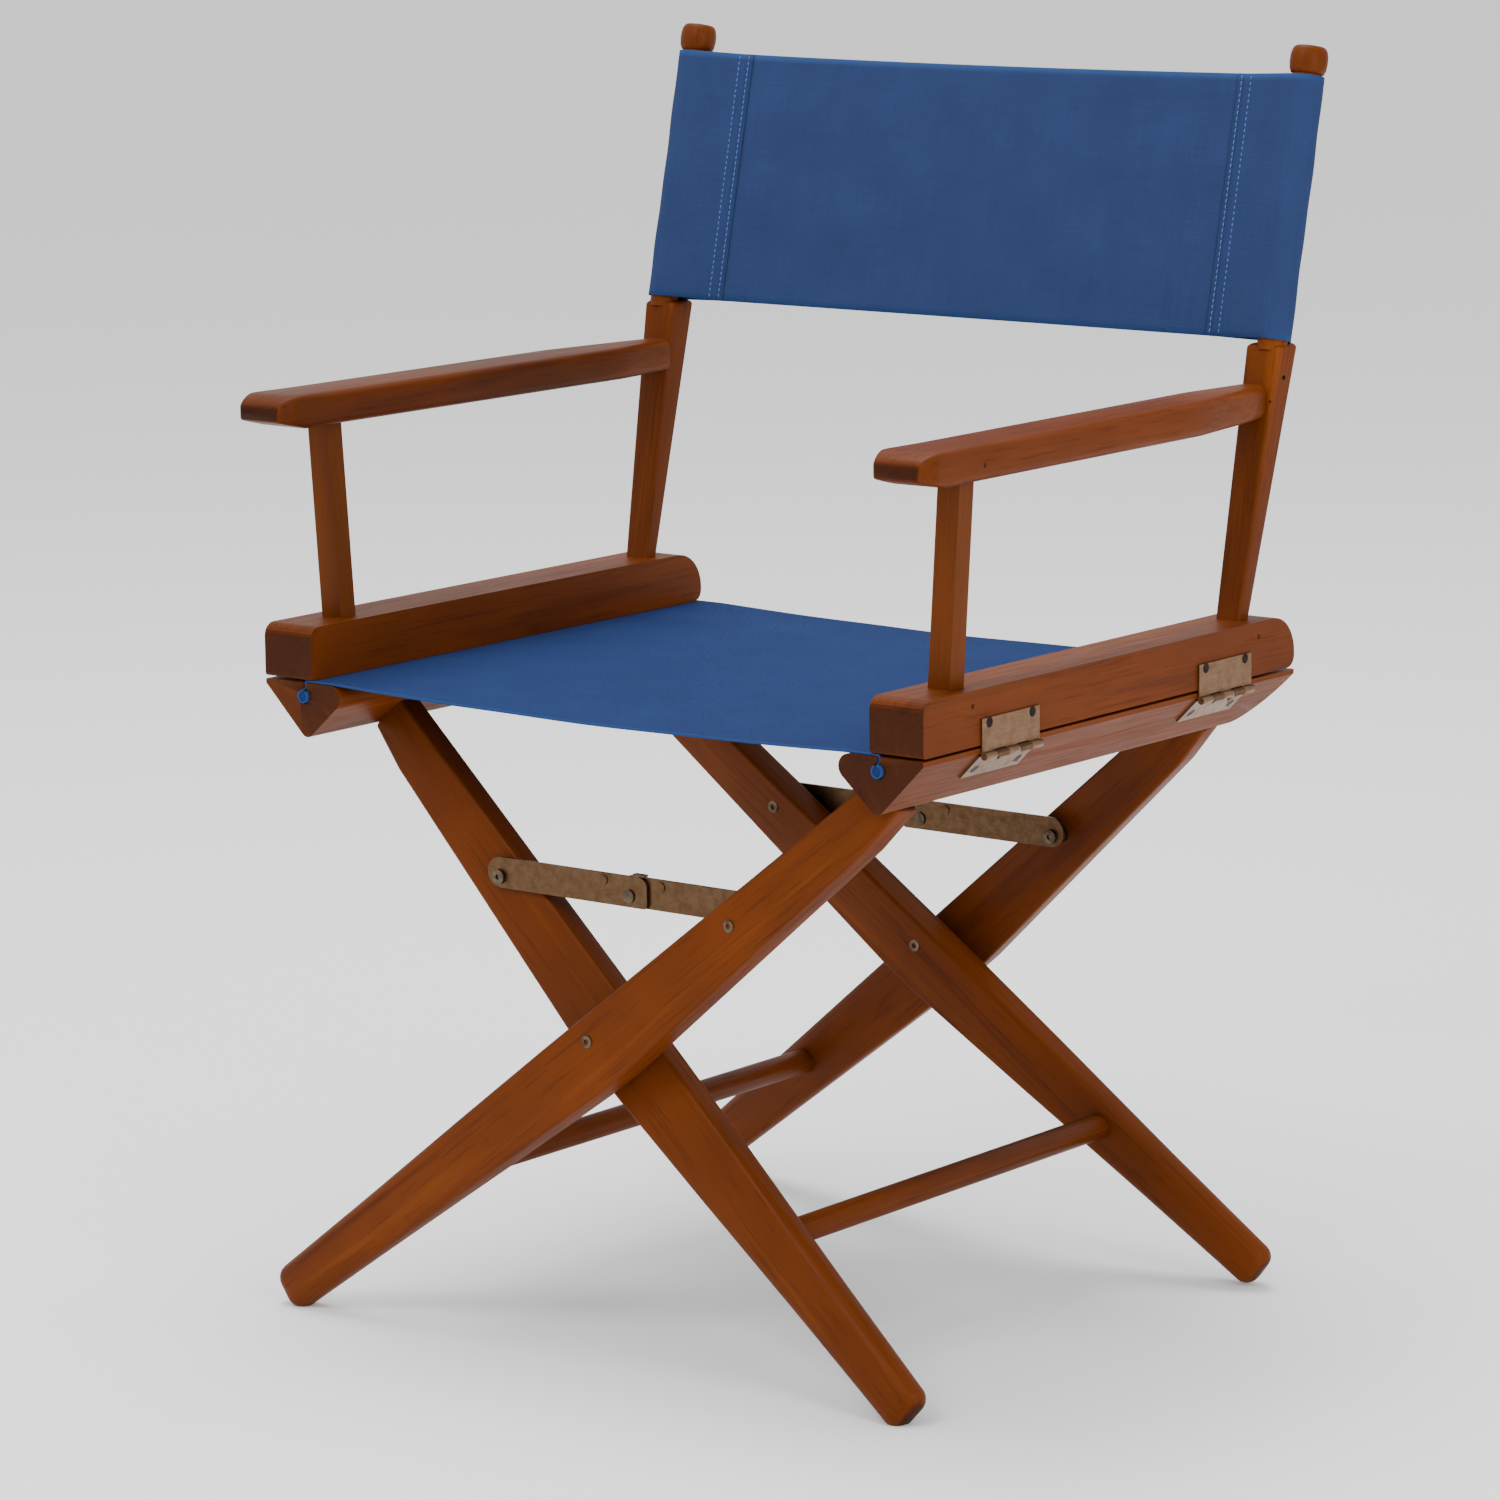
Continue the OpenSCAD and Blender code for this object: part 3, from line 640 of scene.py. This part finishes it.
def build_plugs():
    filler = metal("brad_filler", (0.008, 0.004, 0.003), (0.02, 0.010, 0.006), 0.6, 0.8, 11.0)
    build_brad_plugs("brad_plugs_left", -1, filler)
    build_brad_plugs("brad_plugs_right", 1, filler)


# ---- seat ----

RAIL_Y0 = -222 * MM
RAIL_Y1 = 198 * MM
GROOVE_X = 242.2 * MM
GROOVE_Z = 423 * MM
SEAT_Z = 433 * MM
SEAT_SAG = 3.5 * MM
SEAT_FREE = 215 * MM
HEM_R = 3.9 * MM
FOLD_R = 1.2 * MM


def seat_profile():
    """The cloth's line across the chair, from inside the right hem loop to inside the left one."""
    turns = [math.radians(a) for a in range(-240, 91, 22)]
    half = [(GROOVE_X + HEM_R * math.cos(a), GROOVE_Z + HEM_R * math.sin(a)) for a in turns]
    half += [(GROOVE_X, GROOVE_Z + 6 * MM), (GROOVE_X, SEAT_Z - FOLD_R)]
    half += [(GROOVE_X - FOLD_R, SEAT_Z)]
    steps = 40
    for k in range(1, steps + 1):
        x = (GROOVE_X - FOLD_R) * (1 - k / steps)
        sag = SEAT_SAG * (1 - (x / SEAT_FREE) ** 2) if x < SEAT_FREE else 0
        half.append((x, SEAT_Z - sag))
    other = [(-x, z) for x, z in reversed(half[:-1])]
    return half + other


def build_sheet(name, rows, uvs, hem_highlights, thick, mat):
    """A grid of points given as rows, thickened evenly, with its flat coordinates kept."""
    bm = bmesh.new()
    grid = [[bm.verts.new(p) for p in row] for row in rows]
    for a, b in zip(grid, grid[1:]):
        for i in range(len(a) - 1):
            bm.faces.new((a[i], a[i + 1], b[i + 1], b[i]))
    bm.normal_update()
    mesh = take_mesh(bm, name)
    flat = mesh.attributes.new("cloth_uv", "FLOAT_VECTOR", "POINT")
    flat.data.foreach_set("vector", [c for row in uvs for uv in row for c in uv])
    # hem marks the points that get the painted hem highlight.
    edge = mesh.attributes.new("hem", "FLOAT", "POINT")
    edge.data.foreach_set("value", [h for row in hem_highlights for h in row])
    obj = link(bpy.data.objects.new(name, mesh))
    solid = obj.modifiers.new("thickness", "SOLIDIFY")
    solid.thickness = thick
    solid.offset = 0
    solid.use_even_offset = True
    apply_modifiers(obj)
    paint(obj, mat)
    return obj


# Radius and depth of each ring of the rolled cloth that fills a hem loop's mouth.
HEM_END = [(3.5, 2.5), (3.5, 0.4), (3.1, 0), (2.3, -0.25)]
HEM_END += [(2.0, 0.1), (1.5, -0.1), (0.9, 0.2), (0.2, 0.1)]
HEM_END_OUT = 1.6


def build_hem_end(name, side, end, body, mat):
    """The rolled cloth that closes the mouth of a hem loop."""
    rings = []
    for r, deep in HEM_END:
        out = (HEM_END_OUT - deep) * MM
        y = RAIL_Y0 - out if end < 0 else RAIL_Y1 + out
        ring = []
        for k in range(20):
            turn = 2 * math.pi * k / 20
            wide = r * (1 + 0.05 * math.sin(3 * turn + r)) * MM
            at = (side * GROOVE_X + wide * math.cos(turn), y, GROOVE_Z + wide * math.sin(turn))
            ring.append(at)
        rings.append(ring)
    bm = bmesh.new()
    skin(bm, rings)
    bmesh.ops.recalc_face_normals(bm, faces=bm.faces)
    return add_object(name, take_mesh(bm, name), mat, body)


RIPPLE = 0.25 * MM
CURL = 0.5 * MM
HEM_SPREAD = 3.2 * MM


def build_seat():
    profile = seat_profile()
    lengths = arc_lengths(profile)
    y0, y1 = RAIL_Y0 + 1 * MM, RAIL_Y1 - 1 * MM
    width = y1 - y0
    edge = [0, 0.9 * MM, 1.8 * MM, 4 * MM, 8 * MM]
    inner = [12 * MM + (width - 24 * MM) * j / 50 for j in range(51)]
    places = edge + inner + [width - e for e in reversed(edge)]
    rows, uvs, hem_highlights = [], [], []
    for along in places:
        y = y0 + along
        near = min(along, width - along)
        outward = -1 if along < 0.5 * width else 1
        spread = HEM_SPREAD * outward * max(0.0, 1 - near / (12 * MM))
        row, uv = [], []
        for (x, z), s in zip(profile, lengths):
            free = max(0.0, 1 - (x / (212 * MM)) ** 2)
            ripple = RIPPLE * free * math.sin(x * 41 + y * 9) * math.sin(y * 23 - x * 6)
            curl = CURL * free * max(0.0, 1 - near / (6 * MM))
            in_groove = z < SEAT_Z - 4.5 * MM
            row.append((x, y + spread if in_groove else y, z - curl + ripple))
            uv.append((s, y, 0))
        rows.append(row)
        uvs.append(uv)
        hem_highlights.append([1.0 if near < 1.2 * MM else 0.0] * len(row))
    mat = canvas("canvas_seat", CLOTH_SEAT, 0.5)
    obj = build_sheet("seat_cloth", rows, uvs, hem_highlights, 1.3 * MM, mat)
    for side, label in ((-1, "left"), (1, "right")):
        for end, place in ((-1, "front"), (1, "rear")):
            name = f"hem_end_{place}_{label}"
            build_hem_end(name, side, end, "frame_" + label, mat)
    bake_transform(obj)
    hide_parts("seat_canvas")


# ---- back ----

NECK = Vector([c * MM for c in NECK_FOOT])
BACK_H0 = 4.4 * MM
BACK_H1 = 182.7 * MM
STITCH_X = 216 * MM
PANEL_X = 210 * MM
PLY_X = 208.5 * MM
SLEEVE_R = 11.7 * MM


def on_back(x, out, h):
    """A point of the leaning back: across, out behind the cloth, and up along the necks."""
    up = Vector((0, math.sin(BACK_LEAN), math.cos(BACK_LEAN)))
    behind = Vector((0, math.cos(BACK_LEAN), -math.sin(BACK_LEAN)))
    return Vector((x, NECK.y, NECK.z)) + behind * out + up * h


def build_back_panel(mat):
    columns, steps = 72, 36
    rows, uvs, hem_highlights = [], [], []
    for j in range(steps + 1):
        t = j / steps
        h = BACK_H0 + (BACK_H1 - BACK_H0) * t
        row, uv = [], []
        for i in range(columns + 1):
            x = -PANEL_X + 2 * PANEL_X * i / columns
            k = x / PANEL_X
            free = 1 - k * k
            slack = -2.0 * MM if t > 0.5 else -0.8 * MM
            dip = slack * free * (t - 0.5)
            belly = 2.5 * MM * free
            tension = 0.7 * MM * math.sin(5 * math.pi * t + 1.5 * k) * abs(k) ** 3 * free * 4
            row.append(on_back(x, belly + tension, h + dip))
            uv.append((x, h, 0))
        rows.append(row)
        uvs.append(uv)
        hem_highlights.append([1.0 if j in (0, steps) else 0.0] * len(row))
    obj = build_sheet("back_cloth", rows, uvs, hem_highlights, 1.8 * MM, mat)
    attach(obj, "arm_left")
    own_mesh(obj)
    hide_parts("back_canvas")
    return obj


def sleeve_ring():
    """The sleeve's line round the neck, from the front of the stitching to the back of it."""
    run = NECK.x - STITCH_X
    tangent = math.acos(SLEEVE_R / run)
    ring = [(PLY_X, -0.95 * MM), (STITCH_X, -1.1 * MM)]
    start = math.pi + tangent
    end = 3 * math.pi - tangent
    steps = 28
    for k in range(steps + 1):
        a = start + (end - start) * k / steps
        ring.append((NECK.x + SLEEVE_R * math.cos(a), SLEEVE_R * math.sin(a)))
    ring += [(STITCH_X, 1.1 * MM), (PLY_X, 0.95 * MM)]
    return ring


def build_sleeve(name, side, body, mat):
    """One end of the back, sewn round its post's neck; also gives its length round the neck."""
    ring = sleeve_ring()
    lengths = arc_lengths(ring)
    rows, uvs, hem_highlights = [], [], []
    steps = 36
    for j in range(steps + 1):
        t = j / steps
        h = BACK_H0 + (BACK_H1 - BACK_H0) * t
        row, uv = [], []
        for (x, out), s in zip(ring, lengths):
            wave = 0.35 * MM * math.sin(17 * t + 160 * s) * math.sin(7 * t)
            grow = 1 + wave / SLEEVE_R
            px = NECK.x + (x - NECK.x) * (grow if x > NECK.x - 20 * MM else 1)
            row.append(on_back(side * px, out * grow, h))
            uv.append((s, h, 0))
        if side < 0:
            row.reverse()
            uv.reverse()
        rows.append(row)
        uvs.append(uv)
        hem_highlights.append([1.0 if j in (0, steps) else 0.0] * len(row))
    obj = build_sheet(name, rows, uvs, hem_highlights, 1.0 * MM, mat)
    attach(obj, body)
    return obj, lengths[-1]


def stitch(bm, a, b, radius, out):
    """One stitch: a short thread that dips into the cloth at both ends."""
    steps, sides = 4, 6
    across = (b - a).normalized().cross(out).normalized()
    rings = []
    for k in range(steps + 1):
        arch = math.sin(math.pi * k / steps)
        centre = a.lerp(b, k / steps) + out * radius * (1.5 * arch - 0.5)
        r = radius * (0.45 + 0.55 * arch)
        ring = []
        for q in range(sides):
            turn = 2 * math.pi * q / sides
            ring.append(centre + across * r * math.cos(turn) + out * r * math.sin(turn))
        rings.append(ring)
    skin(bm, rings)


# Each row of stitches: its distance from the chair's middle, and from the cloth's middle plane.
STITCH_ROWS = ((211.8 * MM, 1.45 * MM), (219.6 * MM, 2.05 * MM))
STITCH_STEP = 4 * MM
STITCH_LENGTH = 3.6 * MM
STITCH_R = 0.55 * MM


def build_stitching(name, side, body, mat):
    bm = bmesh.new()
    front = Vector((0, -math.cos(BACK_LEAN), math.sin(BACK_LEAN)))
    for x, level in STITCH_ROWS:
        for face in (-1, 1):
            out = front if face < 0 else -front
            h = BACK_H0 + 1.5 * MM
            while h < BACK_H1 - STITCH_STEP:
                a = on_back(side * x, face * level, h)
                b = on_back(side * x, face * level, h + STITCH_LENGTH)
                stitch(bm, a, b, STITCH_R, out)
                h += STITCH_STEP
    return add_object(name, take_mesh(bm, name), mat, body)


def build_back():
    mat = canvas("canvas_back", CLOTH_BACK, 0.6)
    panel = build_back_panel(mat)
    cotton = thread("stitch_thread", (0.045, 0.115, 0.34))
    for name, side, body in (("left", -1, "arm_left"), ("right", 1, "arm_right")):
        sleeve, length = build_sleeve("back_sleeve_" + name, side, body, mat)
        sewing = build_stitching("back_stitching_" + name, side, body, cotton)


# ---- studio ----


FLOOR_HALF = 45


def build_floor():
    """A pale floor."""
    mesh = bpy.data.meshes.new("floor")
    corners = [(x * FLOOR_HALF, y * FLOOR_HALF, 0) for x, y in ((-1, -1), (1, -1), (1, 1), (-1, 1))]
    mesh.from_pydata(corners, [], [(0, 1, 2, 3)])
    mat, _, bsdf = material("floor_white")
    bsdf.inputs["Base Color"].default_value = (0.93, 0.93, 0.93, 1)
    bsdf.inputs["Roughness"].default_value = 0.9
    floor = link(bpy.data.objects.new("floor", mesh))
    mesh.materials.append(mat)
    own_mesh(floor)


def area_light(name, place, target, size, power):
    data = bpy.data.lights.new(name, "AREA")
    data.shape = "RECTANGLE"
    data.size, data.size_y = size
    data.energy = power
    obj = link(bpy.data.objects.new(name, data))
    obj.location = place
    aim = Vector(target) - Vector(place)
    obj.rotation_euler = aim.to_track_quat("-Z", "Y").to_euler()


def build_studio():
    world = bpy.data.worlds.new("studio")
    world.use_nodes = True
    background = world.node_tree.nodes["Background"]
    background.inputs["Color"].default_value = (1, 1, 1, 1)
    background.inputs["Strength"].default_value = 1.1
    bpy.context.scene.world = world
    middle = (0, 0, 0.4)
    area_light("key", (-0.2, -2.9, 3.4), middle, (1.8, 1.4), 62)
    area_light("top", (-0.7, 0.5, 3.8), middle, (1.9, 1.9), 112)
    area_light("fill", (3.2, -0.9, 1.5), middle, (1.4, 1.8), 40)


CAMERA_LENS = 140.9
CAMERA_PLACE = (2.4144, -3.0957, 1.1019)
CAMERA_FORWARD = (-0.6110, 0.7721, -0.1816)
CAMERA_RIGHT = (0.81260, 0.58280, -0.00420)


def build_camera():
    """A long lens, level with a seated eye, from the chair's front right."""
    data = bpy.data.cameras.new("camera")
    data.sensor_width = 36
    data.lens = CAMERA_LENS
    data.clip_end = 200
    obj = link(bpy.data.objects.new("camera", data))
    forward = Vector(CAMERA_FORWARD).normalized()
    right = Vector(CAMERA_RIGHT)
    right = (right - forward * right.dot(forward)).normalized()
    up = right.cross(forward)
    turn = Matrix((right, up, -forward)).transposed().to_4x4()
    obj.matrix_world = Matrix.Translation(CAMERA_PLACE) @ turn
    bpy.context.scene.camera = obj


build_camera()
finish_wood()
finish_metal()
build_plugs()
build_seat()
build_back()
build_floor()
build_studio()
